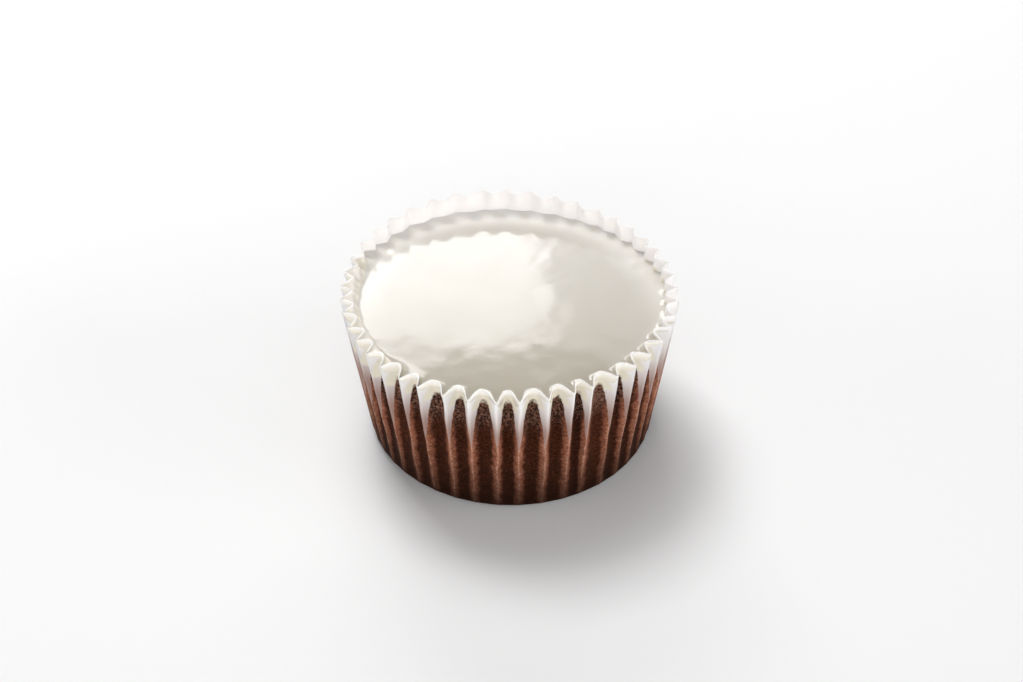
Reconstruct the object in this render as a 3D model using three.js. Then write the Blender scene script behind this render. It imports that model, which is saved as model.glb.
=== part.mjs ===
// A cupcake in a pleated paper baking case, poured with smooth white icing.
// Millimetres, +Z up. The origin is on the table, at the centre of the cupcake's outline.
// The case is one pleated sheet. The sponge fills it, and the icing lies on the sponge and runs into the pleats.
import * as THREE from "three";

const FULL_TURN = 2 * Math.PI;

// The baking case: a flat disc 51 mm across with a wall 32 mm high, the usual cupcake size.
const CASE_HEIGHT = 31.4;
const RIM_RADIUS = 33;
const FOOT_RADIUS = 27.85;
const FOOT_ROUNDING = 2.4;
const PAPER = 0.4;
const PLEATS = 44;
const FRONT_PLEAT_DEPTH = 3.2;
const BACK_PLEAT_DEPTH = 1.7;
const FOOT_PLEAT_DEPTH = 0.7;
const PLEAT_GROWTH = 0.8;
const CREASE_SHARPNESS = 0.9;
const FOLD_LIFT = 0.4;

// What handling has done to the case: the pleats are bunched, in degrees, and the rim is pulled, in millimetres.
const FIRST_FOLD = 1.3;
const BUNCHING = [
  { crests: 1, size: 2.2, peak: -0.57 },
  { crests: 2, size: 2.8, peak: 0.91 },
];
const RIM_WAVES = [
  { crests: 1, size: 0.2, peak: -1.57 },
  { crests: 2, size: 0.3, peak: 0.79 },
  { crests: 3, size: 0.4, peak: -0.52 },
];

// The sponge fills the pleats up to its shoulder, and its crown stands clear of the pleats' outer creases.
const SHOULDER_DROP = 10;
const CROWN_DROP = 1.9;
const CROWN_RISE = 1.6;
const CROWN_RING = 0.8;

// The icing is level with the rim's folds at the front and lies lower at the back. It runs down inside the
// pleats and stops short of their outer creases.
const FRONT_ICING_DROP = 0.9;
const BACK_ICING_DROP = 3.4;
const ICING_RISE = 1.1;
const ICING_RINGS = [0.94, 0.6];
const RUN_DROP = 3.1;
const RUN_FOLD = 0.6;
const BRIM_FOLD = 0.25;

// Pieces that touch keep this much air between them.
const GAP = 0.3;

// Where the stations of one pleat lie, as shares of its width from one outer crease to the next.
const STATIONS = [0, 0.14, 0.33, 0.5, 0.67, 0.86];

// Heights of the rings round the foot and up the wall.
const FOOT_CURVE = FOOT_ROUNDING * 0.3;
const INNER_FOOT = FOOT_ROUNDING * 0.5;
const WALL_HEIGHTS = [0.33, 0.66, 1].map((share) => share * CASE_HEIGHT);

const mix = (a, b, share) => a + (b - a) * share;
const between = (front, back, turn) => mix(front, back, (1 - Math.cos(turn)) / 2);
const clamp = (value) => Math.min(1, Math.max(0, value));

// A sum of slow waves round the case: each has its number of crests, its size and the turn at which it peaks.
function waves(list, turn) {
  return list.reduce(
    (sum, wave) => sum + wave.size * Math.cos(wave.crests * (turn - wave.peak)),
    0,
  );
}

// A turn is an angle round the case, from the front (-Y) towards +X. Whole counts of pleats are inner folds.
// The pleats aren't evenly spaced: hands and the tin leave them a little bunched here and spread there.
function pleatTurn(count) {
  const even = (FULL_TURN * count) / PLEATS;
  return even + THREE.MathUtils.degToRad(waves(BUNCHING, even) - FIRST_FOLD);
}

// 0 on a pleat's outer crease, 1 on its inner fold: sharp outside and round inside.
function foldOf(share) {
  return Math.sin(Math.PI * share) ** CREASE_SHARPNESS;
}

// The outer face of the paper at a height, for a turn and a fold.
function paperRadius(height, turn, fold) {
  const up = height / CASE_HEIGHT;
  const below = Math.max(0, FOOT_ROUNDING - height);
  const rounding = FOOT_ROUNDING - Math.sqrt(FOOT_ROUNDING ** 2 - below ** 2);
  const rim = RIM_RADIUS + waves(RIM_WAVES, turn);
  const crease = mix(FOOT_RADIUS, rim, up) - rounding;
  const rimDepth = between(FRONT_PLEAT_DEPTH, BACK_PLEAT_DEPTH, turn);
  return crease - mix(FOOT_PLEAT_DEPTH, rimDepth, up ** PLEAT_GROWTH) * fold;
}

// The inner folds stand more upright than the outer creases, so they end a little higher.
function lifted(height, fold) {
  return height + FOLD_LIFT * fold * (height / CASE_HEIGHT) ** 3;
}

// The height of the icing where it meets the paper.
function icingLevel(turn) {
  return CASE_HEIGHT - between(FRONT_ICING_DROP, BACK_ICING_DROP, turn);
}

// How far the sponge draws back from the outer creases at a height: 0 below its shoulder, 1 at its crown.
function spongeFold(height, turn) {
  const shoulder = icingLevel(turn) - SHOULDER_DROP;
  return clamp((height - shoulder) / (SHOULDER_DROP - CROWN_DROP));
}

// A closed solid turned from rings. Each ring is a function (turn, fold) that gives a [radius, height];
// the first and last close on the axis at the heights given.
function pleatedSolid(bottomHeight, rings, topHeight) {
  const profile = [new THREE.Vector2(0, bottomHeight)];
  for (const ring of rings) profile.push(new THREE.Vector2(...ring(0, 0)));
  profile.push(new THREE.Vector2(0, topHeight));
  const stations = PLEATS * STATIONS.length;
  const lathe = new THREE.LatheGeometry(profile, stations);
  lathe.rotateX(Math.PI / 2);
  const points = lathe.getAttribute("position");
  for (let step = 0; step <= stations; step += 1) {
    const station = step % stations;
    const pleat = Math.floor(station / STATIONS.length);
    const share = STATIONS[station % STATIONS.length];
    const turn = pleatTurn(pleat + share - 0.5);
    rings.forEach((ring, level) => {
      const [radius, height] = ring(turn, foldOf(share));
      const index = step * profile.length + level + 1;
      points.setXYZ(
        index,
        radius * Math.sin(turn),
        -radius * Math.cos(turn),
        height,
      );
    });
  }
  lathe.computeVertexNormals();
  return lathe;
}

// The paper case: a floor, a rounded foot, and the pleated wall outside and in.
function paperCase() {
  const outside = (height) => (turn, fold) => [
    paperRadius(height, turn, fold),
    lifted(height, fold),
  ];
  const inside = (height) => (turn, fold) => [
    paperRadius(height, turn, fold) - PAPER,
    lifted(height, fold),
  ];
  return pleatedSolid(
    0,
    [
      outside(0),
      outside(FOOT_CURVE),
      outside(FOOT_ROUNDING),
      ...WALL_HEIGHTS.map(outside),
      ...WALL_HEIGHTS.toReversed().map(inside),
      inside(INNER_FOOT),
      (turn, fold) => [paperRadius(PAPER, turn, fold) - PAPER, PAPER],
    ],
    PAPER,
  );
}

// The chocolate sponge, pressed into the pleats below and domed above.
function sponge() {
  const floor = PAPER + GAP;
  const side = (heightAt) => (turn, fold) => {
    const height = heightAt(turn);
    const reach = Math.max(fold, spongeFold(height, turn));
    return [
      paperRadius(height, turn, reach) - PAPER - GAP,
      lifted(height, reach),
    ];
  };
  const shoulderHeight = (turn) => icingLevel(turn) - SHOULDER_DROP;
  const crownHeight = (turn) => icingLevel(turn) - CROWN_DROP;
  const halfWay = (turn) => mix(shoulderHeight(turn), crownHeight(turn), 0.5);
  return pleatedSolid(
    floor,
    [
      (turn, fold) => [paperRadius(floor, turn, fold) - PAPER - GAP, floor],
      side(() => INNER_FOOT),
      side(() => WALL_HEIGHTS[0]),
      side(shoulderHeight),
      side(halfWay),
      side(crownHeight),
      (turn) => crownPoint(turn, CROWN_RING),
    ],
    crownPoint(0, 0)[1],
  );
}

// A point on the sponge's crown, at a share of the way out from the axis.
function crownPoint(turn, share) {
  const edge = icingLevel(turn) - CROWN_DROP;
  const radius = (paperRadius(edge, turn, 1) - PAPER - GAP) * share;
  const middle = CASE_HEIGHT - (FRONT_ICING_DROP + BACK_ICING_DROP) / 2 - CROWN_DROP;
  const level = mix(middle, lifted(edge, 1), share);
  return [radius, level + CROWN_RISE * (1 - share ** 2)];
}

// The icing: a layer on the crown that runs into the pleats and down over the sponge's shoulder.
function icing() {
  const top = CASE_HEIGHT - (FRONT_ICING_DROP + BACK_ICING_DROP) / 2;
  const underCrown = (turn) => {
    const [radius, height] = crownPoint(turn, CROWN_RING);
    return [radius, height + GAP];
  };
  const underEdge = (turn, fold) => {
    const [radius, height] = crownPoint(turn, 1);
    const paper = paperRadius(height, turn, fold) - PAPER - GAP;
    return [Math.min(radius + GAP, paper), height + GAP];
  };
  const against = (heightAt, leastFold) => (turn, fold) => {
    const height = heightAt(turn, fold);
    const reach = Math.max(fold, leastFold);
    return [
      paperRadius(height, turn, reach) - PAPER - GAP,
      lifted(height, reach),
    ];
  };
  const runDown = (turn, fold) =>
    icingLevel(turn) - (fold < RUN_FOLD ? RUN_DROP : CROWN_DROP - 2 * GAP);
  const surface = (share) => (turn) => {
    const edge = icingLevel(turn);
    const radius = (paperRadius(edge, turn, 1) - PAPER - GAP) * share;
    const level = mix(top, lifted(edge, 1), share);
    return [radius, level + ICING_RISE * (1 - share ** 2)];
  };
  return pleatedSolid(
    crownPoint(0, 0)[1] + GAP,
    [
      underCrown,
      underEdge,
      against(runDown, RUN_FOLD),
      against(icingLevel, BRIM_FOLD),
      ...ICING_RINGS.map(surface),
    ],
    top + ICING_RISE,
  );
}

function piece(name, geometry, color, roughness) {
  const material = new THREE.MeshStandardMaterial({
    color,
    roughness,
    metalness: 0,
  });
  const mesh = new THREE.Mesh(geometry, material);
  mesh.name = name;
  return mesh;
}

const cupcake = new THREE.Group();
cupcake.add(
  piece("paper_case", paperCase(), 0xe4dcda, 0.7),
  piece("sponge", sponge(), 0x3a1d14, 0.95),
  piece("icing", icing(), 0xece7da, 0.25),
);

// The uneven rim's outline is centred over the origin.
const outline = new THREE.Box3().setFromObject(cupcake);
const middle = outline.getCenter(new THREE.Vector3());
cupcake.position.set(-middle.x, -middle.y, 0);

export default cupcake;
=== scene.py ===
# %% [markdown]
# # A cupcake in its paper case
#
# The real thing is three things: a pleated paper case, a chocolate sponge baked in it, and white icing
# poured on top until it is nearly level with the rim. The measured solids of the three are already there.
# This lesson dresses them: it models thin paper with soft folds, icing that creeps up the paper, and the
# way the cake shows through greasy paper. It starts by loading the solids as a frame that never moves.

# %% Load the measured solids
import math
from collections import namedtuple

import bmesh
import bpy
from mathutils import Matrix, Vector, noise


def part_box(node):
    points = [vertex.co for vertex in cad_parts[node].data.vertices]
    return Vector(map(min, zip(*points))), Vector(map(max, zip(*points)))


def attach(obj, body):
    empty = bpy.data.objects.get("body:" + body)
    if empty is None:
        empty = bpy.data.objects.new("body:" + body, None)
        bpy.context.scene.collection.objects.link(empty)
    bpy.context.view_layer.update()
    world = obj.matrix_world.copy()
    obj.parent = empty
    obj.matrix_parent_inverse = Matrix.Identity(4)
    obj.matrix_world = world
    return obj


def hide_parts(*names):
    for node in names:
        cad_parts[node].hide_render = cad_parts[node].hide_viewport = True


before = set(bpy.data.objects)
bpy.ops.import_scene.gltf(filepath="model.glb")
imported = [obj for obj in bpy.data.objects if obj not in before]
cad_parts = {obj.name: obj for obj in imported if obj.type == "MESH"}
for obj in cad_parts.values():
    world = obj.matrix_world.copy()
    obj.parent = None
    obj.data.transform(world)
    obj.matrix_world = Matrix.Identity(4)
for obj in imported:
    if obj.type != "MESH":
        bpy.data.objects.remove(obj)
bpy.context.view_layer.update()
MM = 0.001
for node_name in sorted(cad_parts):
    low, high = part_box(node_name)
    print(node_name, "is", [round(side / MM, 1) for side in high - low], "mm")

# %% [markdown]
# ## The shape of a pleated case
#
# A baking case is a flat disc of paper pressed over a fluted cone. Its wall is one sheet that runs in and
# out between sharp outer creases and round inner folds. Everything else follows the paper, so the paper's
# radius is one function of three things: how high up, how far round, and where between crease and fold.
# All the sizes below are the real case's, in metres, and all the angles are counted from the front.

# %% Sizes of the case
RIM_HEIGHT = 31.4 * MM
RIM_RADIUS = 33 * MM
FOOT_RADIUS = 28.1 * MM
FOOT_ROUNDING = 1.2 * MM
PLEATS = 44
FRONT_PLEAT_DEPTH = 3.0 * MM
BACK_PLEAT_DEPTH = 1.7 * MM
FOOT_PLEAT_DEPTH = 0.04 * MM
PLEAT_GROWTH = 0.95
PAPER = 0.12 * MM
print("rim to each pleat:", round(2 * math.pi * RIM_RADIUS / PLEATS / MM, 2), "mm")


# %% Helpers that blend between values
def mix(a, b, share):
    return a + (b - a) * share


def clamp(value, low=0.0, high=1.0):
    return min(high, max(low, value))


def smooth(low, high, value):
    """0 below low, 1 above high, and an even S between them."""
    share = clamp((value - low) / (high - low))
    return share * share * (3 - 2 * share)


def degrees(*angles):
    """Angles in degrees, as the radians that everything below works in."""
    return tuple(math.radians(angle) for angle in angles)


def from_front(turn):
    """The angle from the front, the same to the left and to the right."""
    return abs(math.atan2(math.sin(turn), math.cos(turn)))


def between(front, back, turn):
    """A value that drifts from the front of the case to the back."""
    return mix(front, back, (1 - math.cos(turn)) / 2)


side_depth = between(FRONT_PLEAT_DEPTH, BACK_PLEAT_DEPTH, math.pi / 2)
print("the pleats are", round(side_depth / MM, 2), "mm deep at the sides")

# %% [markdown]
# ### Faults of a handmade thing
#
# No two pleats are quite alike. Noise read on a circle one unit long for each pleat is a good source for
# their faults: it differs from pleat to pleat, it changes without a jump, and it meets itself at the end
# of the round. Each kind of fault reads its own circle, well above the last, so the kinds don't follow one
# another.

# %% Noise for the faults
DEPTH, CRUMPLING, FULLNESS, RUNNING, WETTING, PUSHING, SWAYING, LIGHTNESS = range(1, 9)
KINDS_APART = 10
NOISE_GAIN = 1.6
FAULT_HEIGHT = 14 * MM


def fault(turn, kind, height=0.0):
    """From about -1 to 1, different for each pleat and each kind of fault."""
    circle = PLEATS / (2 * math.pi)
    up = KINDS_APART * kind + height / FAULT_HEIGHT
    return noise.noise(Vector((circle * math.cos(turn), circle * math.sin(turn), up))) * NOISE_GAIN


print("faults in depth:", [round(fault(2 * math.pi * pleat / PLEATS, DEPTH), 2) for pleat in range(4)])

# %% [markdown]
# ### Where each pleat goes
#
# A machine spaces the pleats evenly, and then a hand and a tin pull them about. Two slow waves round the
# case bunch them, the creases are pushed a little to one side or the other, and the whole wall sways. Two
# creases at the front right are pinched together, which leaves a narrow pleat beside a wide one.

# %% Spacing of the pleats
FIRST_FOLD = math.radians(-1.3)
BUNCHING = ((1, math.radians(2.2), -0.57), (2, math.radians(2.8), 0.91))
CREASE_FAULT = math.radians(0.5)
PINCHED = {2.5: math.radians(0.6), 3.5: math.radians(-1.6)}
SWAY = math.radians(0.3)
SWAY_PACE = 3


def waves(crests_size_peak, turn):
    return sum(size * math.cos(crests * (turn - peak)) for crests, size, peak in crests_size_peak)


def pushed(count):
    """How far the nearest crease has been pushed round, fading out towards the folds on both sides of it."""
    crease = math.floor(count) + 0.5
    push = CREASE_FAULT * fault(2 * math.pi * crease / PLEATS, PUSHING) + PINCHED.get(crease, 0)
    return push * (1 - 2 * abs(count - crease))


def pleat_turn(count, height=RIM_HEIGHT):
    """The angle from the front for a count of pleats: whole counts are inner folds."""
    even = 2 * math.pi * count / PLEATS
    swayed = SWAY * fault(even, SWAYING, SWAY_PACE * height)
    return even + waves(BUNCHING, even) + FIRST_FOLD + pushed(count) + swayed


print("first folds at", [round(math.degrees(pleat_turn(count)), 1) for count in range(3)], "degrees")

# %% [markdown]
# ### How sharp the creases are
#
# Low down, the tin keeps the outer creases sharp and the inner folds round, which a power of a cosine
# gives. The rim has had nothing to hold it. At the front the icing has opened its creases into soft round
# waves, at the back they have opened too, and between the two the paper still runs straight from crease to
# fold.

# %% From crease to fold
CREASE_POWER = 0.9
FRONT_RIM_POWER = 1.5
BACK_RIM_POWER = 1.8
CREST_ROUNDING = 1.6
FLATNESS = 0.8
SOFT_FRONT = degrees(15, 55)
SOFT_BACK = degrees(135, 165)
FLAT_FROM = degrees(70, 105)
FLAT_TO = degrees(140, 160)
OPENED = (0.45, 0.95)


def fold_of(count, height=0.0):
    """0 on an outer crease and 1 on a round inner fold."""
    away = from_front(pleat_turn(count))
    side = smooth(*SOFT_FRONT, away)
    rim_power = mix(FRONT_RIM_POWER, CREASE_POWER, side)
    rim_power = mix(rim_power, BACK_RIM_POWER, smooth(*SOFT_BACK, away))
    opened = smooth(*OPENED, height / RIM_HEIGHT)
    soft = abs(math.cos(math.pi * count)) ** mix(CREASE_POWER, rim_power, opened)
    soft = 1 - (1 - soft) ** mix(1, CREST_ROUNDING, opened * (1 - side))
    straight = 1 - 2 * abs(count - round(count))
    flat = opened * smooth(*FLAT_FROM, away) * (1 - smooth(*FLAT_TO, away))
    return mix(soft, straight, FLATNESS * flat)


print("a quarter of a pleat in:", [round(fold_of(0.25, height), 2) for height in (0, RIM_HEIGHT)])

# %% [markdown]
# ### How full the case is
#
# The case was filled level, but it stood a little lower at the back, so more paper shows there. The
# filling matters to the paper too: at the back it has pressed the pleats nearly flat, most of all at its
# own edge.

# %% Level of the filling
FRONT_DROP = 0.9 * MM
BACK_DROP = 3.4 * MM
BACK_SINK = 1.5 * MM
SUNK_ROUND = degrees(100, 145)
PRESSED = 0.8
PRESSED_ROUND = degrees(115, 150)
PRESSED_FROM = 9 * MM
PRESSED_MOST = 1.5 * MM


def icing_level(turn):
    """Height of the icing behind the paper, from which its arches and tongues are counted."""
    sunk = BACK_SINK * smooth(*SUNK_ROUND, from_front(turn))
    return RIM_HEIGHT - between(FRONT_DROP, BACK_DROP, turn) - sunk


def pressed(height, turn):
    """How far the filling has pressed the pleats out at the back: most of all at the icing's edge."""
    level = icing_level(turn)
    filled = smooth(level - PRESSED_FROM, level - PRESSED_MOST, height)
    free = smooth(level, RIM_HEIGHT, height)
    return PRESSED * filled * (1 - free) * smooth(*PRESSED_ROUND, from_front(turn))


print("paper above the icing at the back:", round((RIM_HEIGHT - icing_level(math.pi)) / MM, 1), "mm")

# %% [markdown]
# ### The paper's radius
#
# The outer creases lie on a cone whose rim has been pulled slightly out of round. From there the pleats
# reach inwards, hardly at all at the foot and furthest at the rim. The inner folds are crumpled a little.
# They also stand more upright than the creases, so they end a little higher.

# %% Radius of the paper
RIM_WAVES = ((1, 0.2 * MM, -1.57), (2, 0.3 * MM, 0.79), (3, 0.4 * MM, -0.52))
FOOT_WAVES = ((1, 0.5 * MM, 1.57),)
DEPTH_FAULT = 0.12
CRUMPLE = 0.22 * MM
CRUMPLED_ABOVE = 0.3
FOLD_LIFT = 0.25 * MM
LIFT_POWER = 3


def pleat_depth(height, turn):
    up = clamp(height / RIM_HEIGHT)
    rim_depth = between(FRONT_PLEAT_DEPTH, BACK_PLEAT_DEPTH, turn) * (1 + DEPTH_FAULT * fault(turn, DEPTH))
    return mix(FOOT_PLEAT_DEPTH, rim_depth, up**PLEAT_GROWTH) * (1 - pressed(height, turn))


def paper_radius(height, turn, fold):
    """The paper's outer face."""
    up = clamp(height / RIM_HEIGHT)
    below = max(0.0, FOOT_ROUNDING - height)
    rounding = FOOT_ROUNDING - math.sqrt(max(0.0, FOOT_ROUNDING**2 - below**2))
    foot, rim = FOOT_RADIUS + waves(FOOT_WAVES, turn), RIM_RADIUS + waves(RIM_WAVES, turn)
    crease = mix(foot, rim, up) - rounding
    crumple = CRUMPLE * fault(turn, CRUMPLING, height) * smooth(0, CRUMPLED_ABOVE, up) * fold
    return crease - pleat_depth(height, turn) * fold + crumple


def lifted(height, fold):
    """The height of a place on the paper, which is a little more on the inner folds."""
    return height + FOLD_LIFT * fold * clamp(height / RIM_HEIGHT) ** LIFT_POWER


rim_reach = [paper_radius(RIM_HEIGHT, 0, fold) / MM for fold in (0, 1)]
print("front rim:", [round(radius, 1) for radius in rim_reach], "mm from the axis on crease and fold")

# %% [markdown]
# ### Where the cake and the icing touch the paper
#
# Below the icing the sponge swelled into every inner fold and stopped short of the creases, which leaves
# tall arches of greasy paper. The icing also ran down behind the paper, in a rounded tongue on each flank.
# At the left it was smeared up the wall as well, so there the arches start lower and the tongues are
# longer. These limits colour the paper, and the same smear shapes the icing, so the pieces agree.

# %% Reach of cake and icing on the paper
ARCH_DROP = 1.85 * MM
ARCH_HEIGHT = 11.6 * MM
CAKE_FAULT = 0.8 * MM
STEADY_FOLDS = 0.5
RUN_TOP = -0.4 * MM
RUN_ARCH = 4.4 * MM
RUN_POWER = 1.5
RUN_DROP = 3.3 * MM
RUN_FAULT = 0.5 * MM
RUN_CORNER = 0.8 * MM
SMEAR_MIDDLE = math.radians(-80)
SMEAR_ROUND = degrees(20, 52)
LEFT_RUN = 1.8 * MM
LEFT_SINK = 3.2 * MM


def smeared(turn):
    """1 at the left, where the icing was smeared up the paper and ran down behind it, 0 elsewhere."""
    return 1 - smooth(*SMEAR_ROUND, from_front(turn - SMEAR_MIDDLE))


def cake_height(turn, fold):
    """How high the sponge presses on the paper: highest on the inner folds."""
    full = CAKE_FAULT * fault(turn, FULLNESS) - LEFT_SINK * smeared(turn)
    arch = ARCH_HEIGHT * (1 - smooth(0, 1, fold))
    return icing_level(turn) - ARCH_DROP - arch + full * (1 - STEADY_FOLDS * fold)


def inside_run(height, turn, fold):
    """How far inside the icing's run a place on the paper is: under an arch and above a level."""
    level = icing_level(turn)
    below_arch = level - RUN_TOP - RUN_ARCH * (1 - fold) ** RUN_POWER - height
    above_end = height - level + RUN_DROP + LEFT_RUN * smeared(turn) + RUN_FAULT * fault(turn, RUNNING)
    spread = math.exp(-below_arch / RUN_CORNER) + math.exp(-above_end / RUN_CORNER)
    return -RUN_CORNER * math.log(spread)


print("front arch from", round(cake_height(0, 0) / MM, 1), "to", round(cake_height(0, 1) / MM, 1), "mm up")

# %% [markdown]
# ### How the icing meets the paper
#
# Seen from above, the pool of icing bulges up to the rim at the front and lies well below it at the back.
# Icing wets paper, so its edge curls up in a small bank, the most where it was smeared at the left. Where
# the pool is nearly level with the rim, it has climbed right over the tops of the folds and left a soft
# rounded lip on each. All of it is worked out here, as heights on the paper.

# %% The wet line
POOL_DROP = 0.3 * MM
POOL_BACK_DROP = 4.9 * MM
LEFT_BANK = 0.9 * MM
BACK_BANK = 0.3 * MM
CREEP = 0.3 * MM
CREEP_FAULT = 0.3
BARE_RIM = 0.25 * MM
LIP_SINK = 0.2 * MM
LIP_FOLDS = (-0.4, 0.4)
LIP_MIDDLE = math.radians(-22)
LIP_ROUND = degrees(72, 108)


def pool_level(turn):
    """Height of the pool of icing beside the paper, before it curls up."""
    return RIM_HEIGHT - between(POOL_DROP, POOL_BACK_DROP, turn)


def bank(turn):
    """How far the pool curls up beside the paper."""
    return LEFT_BANK * smeared(turn) + between(0, BACK_BANK, turn)


def lip(turn, fold):
    """1 where the icing covers the rim, 0 where bare paper stands above it."""
    return smooth(*LIP_FOLDS, fold) * (1 - smooth(*LIP_ROUND, from_front(turn - LIP_MIDDLE)))


def wet_line(turn, fold):
    """The height to which the icing wets the paper."""
    creep = pool_level(turn) + bank(turn) + CREEP * (1 + CREEP_FAULT * fault(turn, WETTING))
    top = lifted(RIM_HEIGHT, fold) - LIP_SINK
    return mix(min(creep, top - BARE_RIM), top, lip(turn, fold))


wet = [round((lifted(RIM_HEIGHT, 1) - wet_line(turn, 1)) / MM, 1) for turn in degrees(0, -80, 180)]
print("the icing wets the paper to", wet, "mm under the rim at the front, left and back")


# %% [markdown]
# ## A sheet wrapped round
#
# All three meshes are the same kind of thing: rows that run round the axis. A flat grid is the easiest
# start, because bmesh makes one in a single call and every vertex knows its row and column from its place.
# Each vertex is then moved to where a function says, and merging the doubles closes the seam and the
# poles. The function may also give each vertex some numbers to keep, such as how deep in the cake it is.
# They become attributes that the materials read.

# %% The axis
def rim_tip(count):
    turn = pleat_turn(count)
    radius = paper_radius(RIM_HEIGHT, turn, 0)
    return radius * math.sin(turn), -radius * math.cos(turn)


tip_xs, tip_ys = zip(*[rim_tip(pleat - 0.5) for pleat in range(PLEATS)])
AXIS = Vector((-(min(tip_xs) + max(tip_xs)) / 2, -(min(tip_ys) + max(tip_ys)) / 2, 0))
print("the uneven rim is centred, so the axis stands at", [round(value / MM, 2) for value in AXIS], "mm")

# %% Wrap a grid round the axis
STEPS = 16
MERGED = 0.001 * MM


def wrapped(name, rows, place, steps=STEPS):
    """A mesh object from a flat grid. place(row, count) gives (turn, radius, height, marks) for a vertex."""
    columns = PLEATS * steps
    sheet = bmesh.new()
    bmesh.ops.create_grid(sheet, x_segments=columns, y_segments=rows - 1, size=0.5)
    layers = {mark: sheet.verts.layers.float.new(mark) for mark in place(0, 0.0)[3]}
    for vertex in sheet.verts:
        count = round((vertex.co.x + 0.5) * columns) / steps - 0.5
        row = round((vertex.co.y + 0.5) * (rows - 1))
        turn, radius, height, marks = place(row, count)
        vertex.co = AXIS + Vector((radius * math.sin(turn), -radius * math.cos(turn), height))
        for mark, value in marks.items():
            vertex[layers[mark]] = value
    bmesh.ops.remove_doubles(sheet, verts=sheet.verts, dist=MERGED)
    bmesh.ops.recalc_face_normals(sheet, faces=sheet.faces)
    mesh = bpy.data.meshes.new(name)
    sheet.to_mesh(mesh)
    sheet.free()
    mesh.shade_smooth()
    piece = bpy.data.objects.new(name, mesh)
    bpy.context.scene.collection.objects.link(piece)
    print(name, "has", len(mesh.polygons), "faces")
    return piece


# %% [markdown]
# ## The paper case
#
# One row of vertices for each height: a floor, a rounded foot, and the wall. Only the outer face is drawn.
# A Solidify modifier then gives the paper its thickness, which keeps both faces parallel however the folds
# run. Each vertex keeps where it is between crease and fold, and how deep in the cake, in the icing's run
# and below the icing's level it is. The last number is a lightness for the whole pleat, which differs at
# random from pleat to pleat; the pinched pleat at the front right is darkened as painted shade, and the
# wide one beside it is made pale.

# %% Rows of the case
FLOOR_SHARES = (0, 0.35, 0.7, 0.9)
FOOT_ROWS = 6
WALL_ROWS = 44
# Pleat 3, the pinched one, is darkened as painted shade; pleat 4 beside it is made pale.
SHADED_AND_PALE_PLEATS = {3: -1.0, 4: 1.3}


def case_height(row):
    """Height of a row, round the foot first and then up the wall."""
    if row < FOOT_ROWS:
        return FOOT_ROUNDING * (1 - math.cos(math.pi / 2 * row / FOOT_ROWS))
    return mix(FOOT_ROUNDING, RIM_HEIGHT, (row - FOOT_ROWS) / WALL_ROWS)


def tone(count):
    """How light a pleat is, from about -1 to 1: at random, but painted shade on the pinched pleat."""
    pleat = round(count) % PLEATS
    return SHADED_AND_PALE_PLEATS.get(pleat, fault(2 * math.pi * pleat / PLEATS, LIGHTNESS))


def case_place(row, count):
    wall_row = row - len(FLOOR_SHARES)
    height = case_height(max(0, wall_row))
    turn, fold = pleat_turn(count, height), fold_of(count, height)
    radius = paper_radius(height, turn, fold)
    if wall_row < 0:
        radius *= FLOOR_SHARES[row]
    height = lifted(height, fold)
    across = fold_of(count)
    marks = {
        "fold": across,
        "cake": (cake_height(turn, across) - height) / MM,
        "iced": inside_run(height, turn, across) / MM,
        "buried": (icing_level(turn) - height) / MM,
        "tone": tone(count),
    }
    return turn, radius, height, marks


# %% Make the case
case = wrapped("paper_case_folded", len(FLOOR_SHARES) + FOOT_ROWS + WALL_ROWS + 1, case_place)
thickness = case.modifiers.new("paper", "SOLIDIFY")
thickness.thickness = PAPER
thickness.offset = -1

# %% [markdown]
# ## The icing
#
# The icing is one closed body. Its top is a shallow dome that leans back with the case. Beside the paper
# it curls up in its bank, and in the last millimetre it creeps further up each fold. Its edge is set half
# way into the paper's thickness, so that no crack of light shows between them.

# %% The icing's surface
ICING_RISE = 0.95 * MM
LEFT_BANK_REACH = 1.1 * MM
BACK_BANK_REACH = 3.0 * MM
BANK_BEHIND = 0.3 * MM
CREEP_REACH = 1.0 * MM
CREEP_HIDDEN = 0.1 * MM
CORNER_FILL = 2.2


def icing_surface(radius, turn, fold, wall):
    """Height of the icing at a radius, where the paper stands at the radius wall."""
    level = pool_level(turn)
    inner = paper_radius(level, turn, 1) - PAPER
    share = radius / inner
    middle = RIM_HEIGHT - (POOL_DROP + POOL_BACK_DROP) / 2
    plain = mix(middle, level, min(1, share)) + ICING_RISE * max(0, 1 - share**2)
    reach = mix(BACK_BANK_REACH, LEFT_BANK_REACH, smeared(turn))
    plain += bank(turn) * smooth(inner - reach, inner + BANK_BEHIND, radius)
    creep = max(0, wet_line(turn, fold) - level - bank(turn) - CREEP_HIDDEN)
    beside = max(0, wall - radius) * (1 - CORNER_FILL * fold * (1 - fold))
    return plain + creep * (1 - min(1, beside / CREEP_REACH)) ** 2


pool_middle = icing_surface(0, 0, 1, RIM_RADIUS)
print("the middle of the pool is", round((RIM_HEIGHT - pool_middle) / MM, 2), "mm under the rim")

# %% [markdown]
# ### Rows of the icing
#
# The rows run from the middle of the pool to the wall, over the rim, and back under. They lie closest
# where the surface bends most. Each stretch has its own short function, and all of them start from the
# same measures of the brim. Two numbers are kept for the colour: edge, which is 1 on the paper and 2 on a
# lip, and shore, which rises to 1 beside the tall paper at the back, where light that comes through the
# paper brightens the icing.

# %% The brim
BRIM_FOLD = 0.04
SHORE = 8 * MM
SHORE_FULL = 1 * MM
Brim = namedtuple("Brim", "turn level fold reach inner wall")


def brim_at(count):
    """Where the pool meets the paper: inner is the radius on an inner fold, and wall the radius here."""
    turn = pleat_turn(count)
    level = pool_level(turn)
    fold = fold_of(count, level)
    reach = max(fold, BRIM_FOLD)
    inner = paper_radius(level, turn, 1) - PAPER
    return Brim(turn, level, fold, reach, inner, paper_radius(level, turn, reach) - PAPER / 2)


def behind(turn):
    """1 at the back, fading quickly to 0 at the front."""
    return between(0, 1, turn) ** 2


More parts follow.
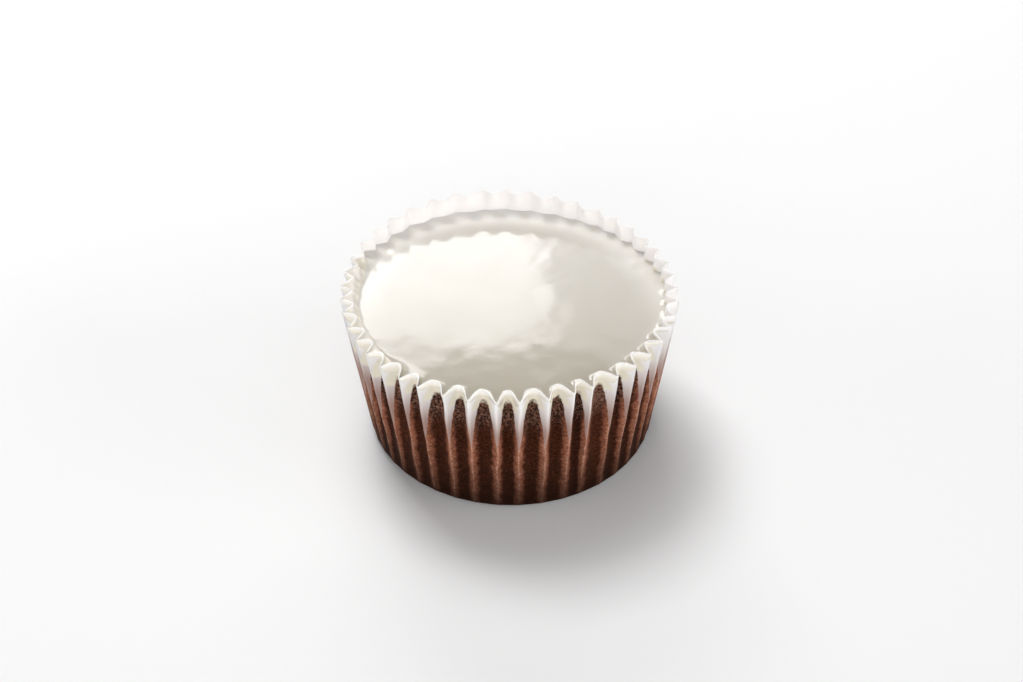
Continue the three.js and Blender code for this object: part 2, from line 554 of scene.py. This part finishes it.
def shore(brim, radius):
    return behind(brim.turn) * smooth(brim.inner - SHORE, brim.inner - SHORE_FULL, radius)


print("the pool is", round(2 * brim_at(0).inner / MM, 1), "mm across")

# %% The pool, from its middle to the paper
DOME_ROWS = 14
DOME_SHARE = 0.9
BRIM_ROWS = 10
BRIM_POWER = 1.7
# The smeared bank is painted towards lip white over this width: a painted highlight.
BANK_PAINTED_HIGHLIGHT = 1.6
BANK_HIGHLIGHT_WIDTH = 2 * MM


def dome_place(row, count):
    brim = brim_at(count)
    radius = brim.inner * DOME_SHARE * row / DOME_ROWS
    height = icing_surface(radius, brim.turn, brim.fold, brim.wall)
    return brim.turn, radius, height, {"edge": 0.0, "shore": shore(brim, radius)}


def brim_place(row, count):
    """Rows that crowd together towards the paper; the smeared bank is a painted highlight, lip white."""
    brim = brim_at(count)
    radius = mix(brim.inner * DOME_SHARE, brim.wall, 1 - (1 - row / BRIM_ROWS) ** BRIM_POWER)
    height = icing_surface(radius, brim.turn, brim.fold, brim.wall)
    # Painted highlight on the smeared bank at the left.
    painted_highlight = BANK_PAINTED_HIGHLIGHT * smeared(brim.turn) * smooth(brim.inner - BANK_HIGHLIGHT_WIDTH, brim.inner, radius)
    return brim.turn, radius, height, {"edge": max(row / BRIM_ROWS, painted_highlight), "shore": shore(brim, radius)}


print("rows of the pool:", DOME_ROWS + BRIM_ROWS + 1)

# %% Lips over the rim, thinning out down the paper
LIP_RADIUS = 0.36 * MM
LIP_ANGLES = (25, 60, 95, 130, 160, 180)
DRIPS = (
    (0.31 * MM, 0.35 * MM, 0.7),
    (0.20 * MM, 0.75 * MM, 0.45),
    (0.10 * MM, 1.15 * MM, 0.25),
    (0.00 * MM, 1.55 * MM, 0.1),
    (-0.04 * MM, 1.95 * MM, 0.1),
)


def lip_place(row, count):
    """A half round over the paper's edge, from inside to outside. Without a lip its rows lie together."""
    brim = brim_at(count)
    rolled, line = lip(brim.turn, brim.fold), wet_line(brim.turn, brim.fold)
    rim = paper_radius(line, brim.turn, brim.reach) - PAPER / 2
    over = math.radians(LIP_ANGLES[row])
    radius = rim - rolled * LIP_RADIUS * math.cos(over)
    height = line + rolled * LIP_RADIUS * math.sin(over)
    return brim.turn, radius, height, {"edge": 1.0 + rolled, "shore": behind(brim.turn)}


def drip_place(row, count):
    """The outside of a lip, which thins out down the paper until it lies within it.

    Each row of DRIPS says how far out, how far down and how white."""
    brim = brim_at(count)
    rolled = lip(brim.turn, brim.fold)
    out, down, whiteness = DRIPS[row]
    height = wet_line(brim.turn, brim.fold) - down * rolled
    held = max(fold_of(count, height), BRIM_FOLD)
    radius = paper_radius(height, brim.turn, held) - PAPER / 2 + out * rolled
    return brim.turn, radius, height, {"edge": 1.0 + whiteness * rolled, "shore": behind(brim.turn)}


print("the lips are", round(2 * LIP_RADIUS / MM, 2), "mm thick")

# %% The hidden underside
RUN_DEPTHS = (2.2 * MM, 3.0 * MM)
RUN_FOLD = 0.5
RUN_INSIDE = 3 * PAPER
CROWN_DROP = 1.9 * MM
UNDER_SHARES = (0.97, 0.6, 0)
UNDER_DROP = 4.6 * MM


def crown_level(turn):
    """Height of the icing's underside near its edge."""
    return min(icing_level(turn), pool_level(turn)) - CROWN_DROP


def run_place(row, count):
    """The icing's side, kept clear of the paper so that none of it pokes through."""
    brim = brim_at(count)
    height = brim.level - RUN_DEPTHS[row]
    held = max(fold_of(count, height), RUN_FOLD, brim.reach)
    radius = paper_radius(height, brim.turn, held) - RUN_INSIDE
    return brim.turn, radius, height, {"edge": 1.0, "shore": 0.0}


def under_place(row, count):
    brim = brim_at(count)
    share = UNDER_SHARES[row]
    height = mix(RIM_HEIGHT - UNDER_DROP, crown_level(brim.turn), share)
    return brim.turn, brim.inner * share, height, {"edge": 1.0, "shore": 0.0}


print("the icing is", round((pool_middle - RIM_HEIGHT + UNDER_DROP) / MM, 1), "mm thick in the middle")

# %% Make the icing
ICING_STRETCHES = (
    (DOME_ROWS, dome_place),
    (BRIM_ROWS + 1, brim_place),
    (len(LIP_ANGLES), lip_place),
    (len(DRIPS), drip_place),
    (len(RUN_DEPTHS), run_place),
    (len(UNDER_SHARES), under_place),
)


def icing_place(row, count):
    """Hands a row to the stretch of the icing that it belongs to."""
    for rows, place in ICING_STRETCHES:
        if row < rows:
            return place(row, count)
        row -= rows


icing = wrapped("icing_poured", sum(rows for rows, place in ICING_STRETCHES), icing_place)

# %% [markdown]
# ## The sponge
#
# Nothing of the sponge is bare: the paper hides its side and the icing its crown. It is still made whole,
# with a coarse crumb on its side, because it shows where somebody peels the case in another scene.

# %% Rows of the sponge
SHOULDER_DROP = 10 * MM
CRUMB = 0.12 * MM
SPONGE_ROWS = 26
SPONGE_GAP = 0.25 * MM
SPONGE_TOP_DROP = 5.1 * MM
TOP_SHARES = (0.9, 0.7, 0.4, 0)
SPONGE_STEPS = 8


def sponge_place(row, count):
    turn, fold = pleat_turn(count), fold_of(count)
    crown = crown_level(turn) - SPONGE_GAP
    if row == 0:
        return turn, 0.0, PAPER + SPONGE_GAP, {}
    if row <= SPONGE_ROWS:
        height = mix(PAPER + SPONGE_GAP, crown, (row - 1) / (SPONGE_ROWS - 1))
        drawn_back = smooth(icing_level(turn) - SHOULDER_DROP, crown, height)
        radius = paper_radius(height, turn, max(fold, drawn_back)) - PAPER - SPONGE_GAP
        place = Vector((radius * math.sin(turn), radius * math.cos(turn), height)) / MM
        return turn, radius + CRUMB * min(0, noise.noise(place)), height, {}
    share = TOP_SHARES[row - SPONGE_ROWS - 1]
    inner = paper_radius(crown, turn, 1) - PAPER - SPONGE_GAP
    return turn, inner * share, mix(RIM_HEIGHT - SPONGE_TOP_DROP, crown, share), {}


# %% Make the sponge
sponge = wrapped("sponge_crumb", 1 + SPONGE_ROWS + len(TOP_SHARES), sponge_place, SPONGE_STEPS)

# %% [markdown]
# ## Materials
#
# Every finish here is a pattern that Blender works out, read from the place on the object or from the
# numbers kept in the mesh. A few small helpers add nodes and fill their sockets, with a number or with
# another node's output, so that each material reads from top to bottom.


# %% Helpers that add nodes
NODES_A_ROW = 8


def put(tree, kind, values=(), **settings):
    """Adds a shader node. A value is a number, a colour or the output of another node."""
    made = tree.nodes.new("ShaderNode" + kind)
    made.location = (220 * (len(tree.nodes) % NODES_A_ROW), -260 * (len(tree.nodes) // NODES_A_ROW))
    for name, value in settings.items():
        setattr(made, name, value)
    for name, value in dict(values).items():
        if isinstance(value, bpy.types.NodeSocket):
            tree.links.new(value, made.inputs[name])
        else:
            made.inputs[name].default_value = value
    return made


def number(tree, operation, *values):
    return put(tree, "Math", enumerate(values), operation=operation).outputs[0]


def kept(tree, mark):
    """A number that the mesh keeps."""
    return put(tree, "Attribute", attribute_name=mark).outputs["Fac"]


def step(tree, value, low, high):
    """0 below low, 1 above high, with an even S between."""
    limits = {"Value": value, "From Min": low, "From Max": high}
    return put(tree, "MapRange", limits, interpolation_type="SMOOTHSTEP").outputs["Result"]


print("nodes are laid out", NODES_A_ROW, "to a row")


# %% Helpers that blend colours and start a finish
def blend(tree, share, first, second):
    """A colour from first to second."""
    mixed = put(tree, "Mix", {"Factor": share}, data_type="RGBA")
    for socket, colour in ((mixed.inputs[6], first), (mixed.inputs[7], second)):
        if isinstance(colour, bpy.types.NodeSocket):
            tree.links.new(colour, socket)
        else:
            socket.default_value = (*colour, 1)
    return mixed.outputs[2]


def ramp(tree, value, stops):
    """A colour that runs through stops, each a value and a colour."""
    made = put(tree, "ValToRGB", {"Fac": value})
    elements = made.color_ramp.elements
    while len(elements) < len(stops):
        elements.new(1.0)
    for element, (position, colour) in zip(elements, stops):
        element.position = position
        element.color = (*colour, 1)
    return made.outputs["Color"]


def finish_with(name):
    """A new material with its Principled shader, and the node that gives the place on the object."""
    material = bpy.data.materials.new(name)
    material.use_nodes = True
    tree = material.node_tree
    print("a finish called", name)
    return material, tree, tree.nodes["Principled BSDF"], put(tree, "TexCoord").outputs["Object"]


# %% [markdown]
# ### Grain
#
# Paper fibres, cake crumbs and clouded icing are all grain of some size. They share one node group, which
# takes the size of the grain in millimetres and gives a mask that runs from 0 to 1.


# %% The grain group
def make_grain():
    group = bpy.data.node_groups.new("grain", "ShaderNodeTree")
    group.interface.new_socket("Place", in_out="INPUT", socket_type="NodeSocketVector")
    for name, value in (("Size", 1.0), ("Detail", 2.0), ("Low", 0.3), ("High", 0.7)):
        socket = group.interface.new_socket(name, in_out="INPUT", socket_type="NodeSocketFloat")
        socket.default_value = value
    group.interface.new_socket("Mask", in_out="OUTPUT", socket_type="NodeSocketFloat")
    given = group.nodes.new("NodeGroupInput").outputs
    scale = number(group, "DIVIDE", 1 / MM, given["Size"])
    cloud = put(group, "TexNoise", {"Vector": given["Place"], "Scale": scale, "Detail": given["Detail"]})
    limits = {"Value": cloud.outputs["Fac"], "From Min": given["Low"], "From Max": given["High"]}
    mask = put(group, "MapRange", limits)
    out = group.nodes.new("NodeGroupOutput")
    group.links.new(mask.outputs["Result"], out.inputs["Mask"])
    return group


GRAIN = make_grain()


def grain(tree, place, size, low=0.3, high=0.7, detail=2.0):
    made = put(tree, "Group", node_tree=GRAIN)
    tree.links.new(place, made.inputs["Place"])
    for name, value in (("Size", size), ("Detail", detail), ("Low", low), ("High", high)):
        made.inputs[name].default_value = value
    return made.outputs["Mask"]


print("one group gives every grain:", GRAIN.name)

# %% [markdown]
# ### Paper with cake behind it
#
# Dry baking paper is white with a breath of lilac. Lower down, towards the cake, it is darkened: partly
# grease, and partly painted shade for the dark pocket behind the thin paper. Behind the folds the icing
# makes it cream. Where the sponge presses on it, the fat has soaked through and the paper turns clear, so
# the dark crumb shows in the inner folds, while the creases, which stand off the cake, stay a lighter
# red-brown; part of that lightness is painted light on the crests. Lower down it is all darker, partly the
# darker cake and partly painted shade. The mesh carries how deep each point is in the cake and in the
# icing, in millimetres. A little noise on those depths makes the edges natural.

# %% White paper, dry or with icing behind it
DRY_PAPER = (0.89, 0.85, 0.835)
# Painted shade with a little grease: the white paper is darkened lower down, towards the cake.
GREASE_AND_SHADE_NEAR_CAKE = (0.33, 0.22, 0.19)
GREASE_AND_SHADE_DEPTHS = (-1.0, 10.5)
ICED_PAPER = (0.78, 0.71, 0.58)
ICED_EDGE = (-0.5, 0.5)
ICED_RAGGEDNESS = 0.3


def white_paper(tree, ragged):
    # Painted shade lower down, partly grease, over these depths below the icing's level.
    near = step(tree, kept(tree, "buried"), *GREASE_AND_SHADE_DEPTHS)
    dry = blend(tree, near, DRY_PAPER, GREASE_AND_SHADE_NEAR_CAKE)
    depth = number(tree, "MULTIPLY_ADD", ragged, ICED_RAGGEDNESS, kept(tree, "iced"))
    return blend(tree, step(tree, depth, *ICED_EDGE), dry, ICED_PAPER)


print("icing shows through over", ICED_EDGE[1] - ICED_EDGE[0], "mm of paper")

# %% Brown paper with cake behind it
CRUMB_DARK = (0.017, 0.008, 0.005)
CRUMB_LIGHT = (0.28, 0.140, 0.097)
# Dark brown of the mottled crumb, and also the colour of the painted shade low on the wall.
DEEP_BROWN_AND_SHADE = (0.010, 0.003, 0.0015)
VALLEY_BROWN = (0.108, 0.029, 0.012)
# Light on the crease to dark towards the fold: partly the paper standing off the cake, partly painted light
# on the crests.
ACROSS_THE_PLEAT_PARTLY_LIT = (
    (0.0, (0.53, 0.275, 0.19)),
    (0.12, (0.41, 0.18, 0.112)),
    (0.50, (0.29, 0.102, 0.057)),
    (0.80, (0.075, 0.022, 0.010)),
)
CRUMB_DEPTHS = (3.0, 8.0)
VALLEY_FOLDS = (0.5, 0.9)
# Painted shade: from these depths under the icing down to the foot the wall blends to dark brown, partly
# darker cake.
SHADED_DEPTHS = (12.0, 34.0)
STREAKINESS = 0.35
MOTTLING = 0.5


def brown_paper(tree, place, depth, speck):
    """Crumb atop an arch, dark brown below, a crease partly painted light, painted shade low down."""
    plain = number(tree, "MULTIPLY_ADD", speck, 0.6, 0.2)
    lower = blend(tree, plain, DEEP_BROWN_AND_SHADE, VALLEY_BROWN)
    crumb = blend(tree, speck, CRUMB_DARK, CRUMB_LIGHT)
    valley = blend(tree, step(tree, depth, *CRUMB_DEPTHS), crumb, lower)
    streak = number(tree, "SUBTRACT", grain(tree, place, size=1.4, low=0.2, high=0.8), 0.5)
    across = number(tree, "MULTIPLY_ADD", streak, STREAKINESS, kept(tree, "fold"))
    # Partly painted light: the creases are made lighter than the folds.
    ridge = ramp(tree, across, ACROSS_THE_PLEAT_PARTLY_LIT)
    brown = blend(tree, step(tree, across, *VALLEY_FOLDS), ridge, valley)
    fine = grain(tree, place, size=0.5, low=0.36, high=0.62, detail=3)
    mottled = blend(tree, number(tree, "MULTIPLY", fine, MOTTLING), brown, DEEP_BROWN_AND_SHADE)
    # Painted shade towards the foot, partly the darker cake there.
    return blend(tree, step(tree, kept(tree, "buried"), *SHADED_DEPTHS), mottled, DEEP_BROWN_AND_SHADE)


print("crumb shows for", CRUMB_DEPTHS[0], "mm below the top of an arch")

# %% The paper's finish
SOAKED_EDGE = (-0.9, 0.25)
SOAKED_RAGGEDNESS = 1.4
TONE_SHARE = 0.16
PAPER_DEPTH_OF_LIGHT = (0.35 * MM, 0.32 * MM, 0.3 * MM)


def make_paper():
    material, tree, shader, place = finish_with("greasy_baking_paper")
    ragged = number(tree, "SUBTRACT", grain(tree, place, size=0.8, low=0.2, high=0.8, detail=3), 0.5)
    depth = number(tree, "MULTIPLY_ADD", ragged, SOAKED_RAGGEDNESS, kept(tree, "cake"))
    soaked = step(tree, depth, *SOAKED_EDGE)
    crumbs = grain(tree, place, size=0.45, low=0.41, high=0.66, detail=4)
    speck = number(tree, "MULTIPLY_ADD", kept(tree, "tone"), TONE_SHARE, crumbs)
    white, brown = white_paper(tree, ragged), brown_paper(tree, place, depth, speck)
    tree.links.new(blend(tree, soaked, white, brown), shader.inputs["Base Color"])

    fibre = grain(tree, place, size=0.25, low=0.2, high=0.8, detail=4)
    roughness = number(tree, "MULTIPLY_ADD", fibre, 0.1, 0.55)
    tree.links.new(roughness, shader.inputs["Roughness"])
    relief = number(tree, "MULTIPLY_ADD", speck, soaked, number(tree, "MULTIPLY", fibre, 0.5))
    bump = put(tree, "Bump", {"Height": relief, "Strength": 0.5, "Distance": 0.08 * MM})
    tree.links.new(bump.outputs["Normal"], shader.inputs["Normal"])
    shader.inputs["Subsurface Weight"].default_value = 0.8
    shader.inputs["Subsurface Radius"].default_value = PAPER_DEPTH_OF_LIGHT
    shader.inputs["Subsurface Scale"].default_value = 1.0
    shader.inputs["Specular IOR Level"].default_value = 0.03
    return material


case.data.materials.append(make_paper())

# %% [markdown]
# ### Icing
#
# Poured icing is smooth, glossy and a little clear, so light softens in it. It isn't pure white either: it
# is a warm grey-white with faint clouds, painted paler towards the back as painted light from the lamps
# behind it. The lips are thin and whiter, and cream where they thin out on the paper. The smeared bank at
# the left is painted as white as a lip, a painted highlight. Very slow waves in the surface are what break
# up the reflection of a window.

# %% Colours of the icing
# Painted light: the pool is painted paler towards the back, where the lamps behind it light it.
PAINTED_LIGHT_FRONT_TO_BACK = (
    (0.0, (0.485, 0.445, 0.365)),
    (0.35, (0.535, 0.495, 0.425)),
    (0.75, (0.60, 0.565, 0.505)),
)
PAINTED_LIGHT_LENGTH = 60 * MM
CLOUDED = (0.50, 0.455, 0.385)
SHORE_WHITE = (0.97, 0.945, 0.89)
LIP_WHITE = (0.90, 0.86, 0.81)
LIP_CREAM = (0.82, 0.765, 0.655)
ON_THE_PAPER = (0.9, 1.1)
ON_A_LIP = (1.1, 1.9)


def icing_colour(tree, place, cloud):
    along = put(tree, "SeparateXYZ", {"Vector": place}).outputs["Y"]
    # Painted light from behind: paler towards the back.
    lit_drift = ramp(tree, number(tree, "MULTIPLY_ADD", along, 1 / PAINTED_LIGHT_LENGTH, 0.5), PAINTED_LIGHT_FRONT_TO_BACK)
    pool = blend(tree, number(tree, "MULTIPLY", cloud, 0.25), lit_drift, CLOUDED)
    pool = blend(tree, kept(tree, "shore"), pool, SHORE_WHITE)
    edge = kept(tree, "edge")
    rolled = blend(tree, step(tree, edge, *ON_A_LIP), LIP_CREAM, LIP_WHITE)
    return blend(tree, step(tree, edge, *ON_THE_PAPER), pool, rolled)


print("the pool's colour drifts over", round(PAINTED_LIGHT_LENGTH / MM), "mm")

# %% The icing's finish
ICING_DEPTH_OF_LIGHT = (1.2 * MM, 1.0 * MM, 0.7 * MM)


def make_icing():
    material, tree, shader, place = finish_with("glossy_white_icing")
    cloud = grain(tree, place, size=9, detail=3)
    tree.links.new(icing_colour(tree, place, cloud), shader.inputs["Base Color"])
    roughness = put(tree, "MapRange", {"Value": cloud, "To Min": 0.09, "To Max": 0.15}).outputs["Result"]
    tree.links.new(roughness, shader.inputs["Roughness"])
    slow = grain(tree, place, size=7, low=0.0, high=1.0, detail=1)
    fine = grain(tree, place, size=1.8, low=0.0, high=1.0)
    relief = number(tree, "MULTIPLY_ADD", fine, 0.12, slow)
    bump = put(tree, "Bump", {"Height": relief, "Strength": 1.0, "Distance": 0.11 * MM})
    tree.links.new(bump.outputs["Normal"], shader.inputs["Normal"])
    shader.inputs["Subsurface Weight"].default_value = 0.3
    shader.inputs["Subsurface Radius"].default_value = ICING_DEPTH_OF_LIGHT
    shader.inputs["Subsurface Scale"].default_value = 1.0
    shader.inputs["IOR"].default_value = 1.5
    return material


icing.data.materials.append(make_icing())

# %% [markdown]
# ### Sponge
#
# Chocolate sponge is matt and full of small holes. Two sizes of grain give it pores and crumbs.

# %% Sponge
SPONGE_DARK = (0.022, 0.009, 0.006)
SPONGE_BROWN = (0.085, 0.038, 0.022)


def make_sponge():
    material, tree, shader, place = finish_with("chocolate_sponge")
    pores = grain(tree, place, size=1.1, low=0.35, high=0.6, detail=3)
    crumbs = grain(tree, place, size=0.35)
    share = number(tree, "MULTIPLY", pores, number(tree, "MULTIPLY_ADD", crumbs, 0.5, 0.5))
    tree.links.new(blend(tree, share, SPONGE_DARK, SPONGE_BROWN), shader.inputs["Base Color"])
    bump = put(tree, "Bump", {"Height": share, "Strength": 0.9, "Distance": 0.3 * MM})
    tree.links.new(bump.outputs["Normal"], shader.inputs["Normal"])
    shader.inputs["Roughness"].default_value = 0.92
    shader.inputs["Specular IOR Level"].default_value = 0.2
    return material


sponge.data.materials.append(make_sponge())

# %% [markdown]
# ## On the frame
#
# Each new piece stands for the measured solid of the same thing, which is hidden, and moves with the one
# body.

# %% Put the pieces on the frame
for piece, node_name, slot in (
    (case, "paper_case", "baking_paper"),
    (icing, "icing", "white_icing"),
    (sponge, "sponge", "chocolate_sponge"),
):
    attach(piece, "root")
    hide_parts(node_name)
print("the pieces on the frame:", case.name, icing.name, sponge.name)

# %% [markdown]
# ## The floor, the light and the camera
#
# The floor is plain and pale, large enough to fill every view.


# %% The floor
FLOOR_HALF = 3


def make_floor():
    sheet = bmesh.new()
    bmesh.ops.create_grid(sheet, x_segments=1, y_segments=1, size=FLOOR_HALF)
    mesh = bpy.data.meshes.new("floor")
    sheet.to_mesh(mesh)
    sheet.free()
    floor = bpy.data.objects.new("floor", mesh)
    bpy.context.scene.collection.objects.link(floor)
    material, _, shader, _ = finish_with("pale_floor")
    shader.inputs["Base Color"].default_value = (0.9, 0.9, 0.9, 1)
    shader.inputs["Roughness"].default_value = 0.9
    shader.inputs["Specular IOR Level"].default_value = 0.0
    mesh.materials.append(material)


make_floor()

# %% [markdown]
# ### Softboxes all round
#
# Soft studio light comes from rectangular lamps that face the cupcake. Two windows and a wide, dimmer wall
# stand low behind it, where the icing mirrors them in its left half. Two stronger lamps, higher up at the
# back left, throw the soft shadow to the front and right. The front of the paper is lit by long
# reflectors, as by a pale table and room, and two fills keep its sides from going dark. An even world adds
# a little from everywhere.

# %% The lights
# Each lamp: degrees left of the back and above the floor, metres away, wide and high, and brightness.
LAMPS = {
    "window": (8.25, 29.5, 0.9, 0.31, 0.215, 4.3),
    "window_left": (20.7, 27, 0.9, 0.18, 0.17, 6.0),
    "bright_wall": (0, 23.7, 1.2, 0.9, 0.53, 1.7),
    "key": (32, 57, 0.9, 0.3, 0.34, 9.4),
    "high_key": (20, 62, 0.9, 0.5, 0.5, 3.0),
    "low_reflector": (180, 8, 1.0, 1.8, 0.25, 3.6),
    "front_fill": (180, 25, 1.0, 1.8, 0.4, 1.2),
    "left_fill": (100, 14, 1.0, 0.8, 0.4, 2.0),
    "right_fill": (-105, 14, 1.0, 0.8, 0.4, 4.2),
}
WORLD_BRIGHTNESS = 0.12


def softbox(name, left, elevation, distance, width, height, brightness):
    """A rectangular lamp that faces the cupcake's rim."""
    lamp = bpy.data.lights.new(name, "AREA")
    lamp.shape = "RECTANGLE"
    lamp.size, lamp.size_y = width, height
    lamp.energy = brightness * math.pi * width * height
    turn, rise = degrees(left, elevation)
    away = Vector((-math.sin(turn) * math.cos(rise), math.cos(turn) * math.cos(rise), math.sin(rise)))
    stand = bpy.data.objects.new(name, lamp)
    stand.location = away * distance + Vector((0, 0, RIM_HEIGHT))
    stand.rotation_euler = away.to_track_quat("Z", "Y").to_euler()
    bpy.context.scene.collection.objects.link(stand)


for lamp_name, settings in LAMPS.items():
    softbox(lamp_name, *settings)
world = bpy.data.worlds.new("even_room")
world.use_nodes = True
world.node_tree.nodes["Background"].inputs["Color"].default_value = (1, 1, 1, 1)
world.node_tree.nodes["Background"].inputs["Strength"].default_value = WORLD_BRIGHTNESS
bpy.context.scene.world = world
bpy.context.scene.view_settings.view_transform = "Standard"
print(len(LAMPS), "lamps and an even world")

# %% [markdown]
# ### The camera
#
# The photograph was taken from well above and from some distance, with a long lens. The rise, the distance
# and the focal length were fitted together to the rim, the foot and the outline. The cupcake stands a
# little off the middle of the picture, so the lens is shifted by as much.

# %% Set up the camera
IMAGE_WIDTH = 1023
FOCAL_PIXELS = 2407.3
LEFT_OF_CENTRE = 2.96
BELOW_CENTRE = 11.39
SENSOR_WIDTH = 36
CAMERA_DISTANCE = 478.26 * MM
CAMERA_RISE = math.radians(40.3)
AIM_HEIGHT = 15.69 * MM
lens = bpy.data.cameras.new("camera")
lens.sensor_width = SENSOR_WIDTH
lens.lens = SENSOR_WIDTH * FOCAL_PIXELS / IMAGE_WIDTH
lens.shift_x = LEFT_OF_CENTRE / IMAGE_WIDTH
lens.shift_y = BELOW_CENTRE / IMAGE_WIDTH
lens.clip_start = 0.01
camera = bpy.data.objects.new("camera", lens)
towards_camera = Vector((0, -math.cos(CAMERA_RISE), math.sin(CAMERA_RISE)))
camera.location = AXIS + Vector((0, 0, AIM_HEIGHT)) + towards_camera * CAMERA_DISTANCE
camera.rotation_euler = towards_camera.to_track_quat("Z", "Y").to_euler()
bpy.context.scene.collection.objects.link(camera)
bpy.context.scene.camera = camera
print("lens", round(lens.lens, 1), "mm, from", round(camera.location.length, 3), "m away")
